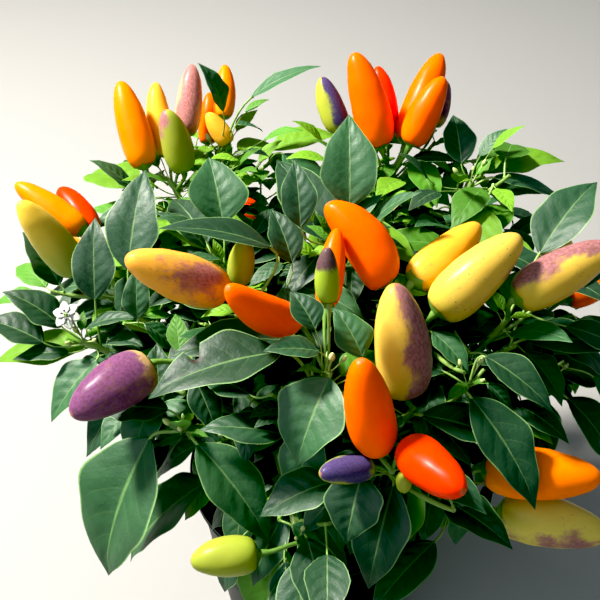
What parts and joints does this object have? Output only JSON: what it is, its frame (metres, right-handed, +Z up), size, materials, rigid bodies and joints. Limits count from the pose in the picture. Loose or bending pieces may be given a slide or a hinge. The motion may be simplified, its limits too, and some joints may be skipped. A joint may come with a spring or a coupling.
{
  "type": "potted chilli pepper plant",
  "caption": "Compact ornamental chilli pepper plant in a thin black nursery pot: forked green stem, glossy pointed leaves, and upright pods in bunches, yellow, orange, red and purple.",
  "frame": {"origin": "centre of the pot's flat underside", "axes": "+Z up along the pot's axis; -Y is the showy side that the picture looks down on, and +X is to its right"},
  "size_m": [0.3057, 0.2885, 0.2808],
  "materials": {
    "pot": "glossy black moulded plastic",
    "soil": "rough dark potting compost",
    "stem": "smooth green stem, woodier and ribbed low down",
    "foliage": "glossy dark green leaves",
    "fruit": "glossy waxy skin, from yellow-green and purple to orange and red"
  },
  "bodies": {
    "root": {"pot": "pot", "soil": "soil", "trunk": "stem", "bough_left": "stem", "bough_right": "stem", "bough_front_left": "stem", "bough_front_right": "stem", "bough_back_left": "stem", "bough_back_right": "stem", "foliage_back_left": "foliage", "foliage_back": "foliage", "foliage_back_right": "foliage", "foliage_left": "foliage", "foliage_left_edge": "foliage", "foliage_centre_left": "foliage", "foliage_left_front": "foliage", "foliage_centre": "foliage", "foliage_mid_back": "foliage", "foliage_centre_back": "foliage", "foliage_right_top": "foliage", "foliage_right": "foliage", "foliage_centre_right": "foliage", "foliage_front": "foliage", "foliage_right_front": "foliage", "foliage_front_low": "foliage", "foliage_right_back": "foliage", "foliage_rear_left": "foliage", "foliage_rear_right": "foliage"}
  },
  "joints": []
}
